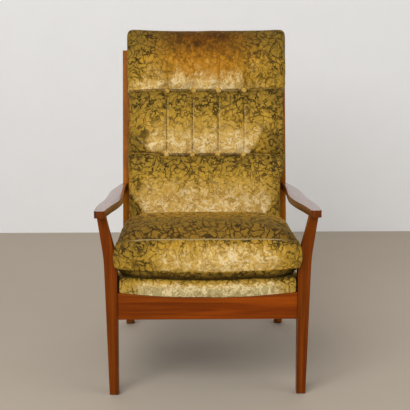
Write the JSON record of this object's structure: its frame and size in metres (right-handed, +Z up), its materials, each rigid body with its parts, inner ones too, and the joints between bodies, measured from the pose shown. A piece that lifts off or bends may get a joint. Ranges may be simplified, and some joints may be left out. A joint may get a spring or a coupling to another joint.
{
  "type": "fireside chair",
  "caption": "High-back upholstered fireside chair with a show-wood frame, sweeping arms, sabre back legs, a sprung seat platform, a loose seat cushion and a buttoned, fluted back cushion.",
  "frame": {"origin": "centre of the bounding box at the level of the floor, under the middle of the seat", "axes": "+Z up, -Y towards the front of the chair, where a sitter's knees are, +X towards the right as seen from the front; the chair is the same on both sides of X = 0"},
  "size_m": [0.628, 0.7292, 0.9912],
  "materials": {
    "show_wood": "glossy varnish over orange-brown stained hardwood",
    "plain_beech": "unfinished, planed",
    "figured_velvet": "cut velvet with a fine vein pattern, old gold with dark olive lines",
    "pale_velvet": "the same velvet where it is plain and catches the light",
    "foam": "open-cell upholstery foam, matt",
    "jute_cloth": "coarse woven jute",
    "black_cloth": "thin matt lining",
    "zinc_steel": "zinc plated",
    "spring_steel": "drawn spring wire, lightly oiled",
    "blued_steel": "blued tacks"
  },
  "bodies": {
    "frame": {"front_leg_left": "show_wood", "front_leg_right": "show_wood", "back_leg_left": "show_wood", "back_leg_right": "show_wood", "arm_left": "show_wood", "arm_right": "show_wood", "front_rail": "show_wood", "side_rail_left": "show_wood", "side_rail_right": "show_wood", "rear_rail": "show_wood", "back_top_rail": "show_wood", "back_lower_rail": "show_wood", "rail_dowels": "plain_beech", "front_batten": "plain_beech", "rear_batten": "plain_beech", "side_battens": "plain_beech", "corner_blocks": "plain_beech", "corner_block_screws": "zinc_steel", "arm_screws": "zinc_steel", "arm_plugs": "show_wood", "foot_glides": "zinc_steel", "seat_springs": "spring_steel", "spring_clips": "zinc_steel", "seat_hessian": "jute_cloth", "platform_pad": "foam", "platform_cover": "pale_velvet", "dust_cover": "black_cloth", "dust_cover_tacks": "blued_steel", "back_webbing": "jute_cloth", "webbing_tacks": "blued_steel", "back_hessian": "jute_cloth", "back_cushion_foam": "foam", "back_cushion_cover": "figured_velvet", "back_buttons": "pale_velvet", "button_ties": "jute_cloth", "outside_back": "figured_velvet", "outside_back_tacks": "blued_steel"},
    "seat_cushion": {"seat_cushion_foam": "foam", "seat_cushion_cover": "figured_velvet"}
  },
  "joints": [
    {"name": "seat_cushion_slide", "type": "slide", "parent": "frame", "child": "seat_cushion", "axis": [0, -0.9925, 0.1219], "range_m": [0, 0.6]}
  ]
}
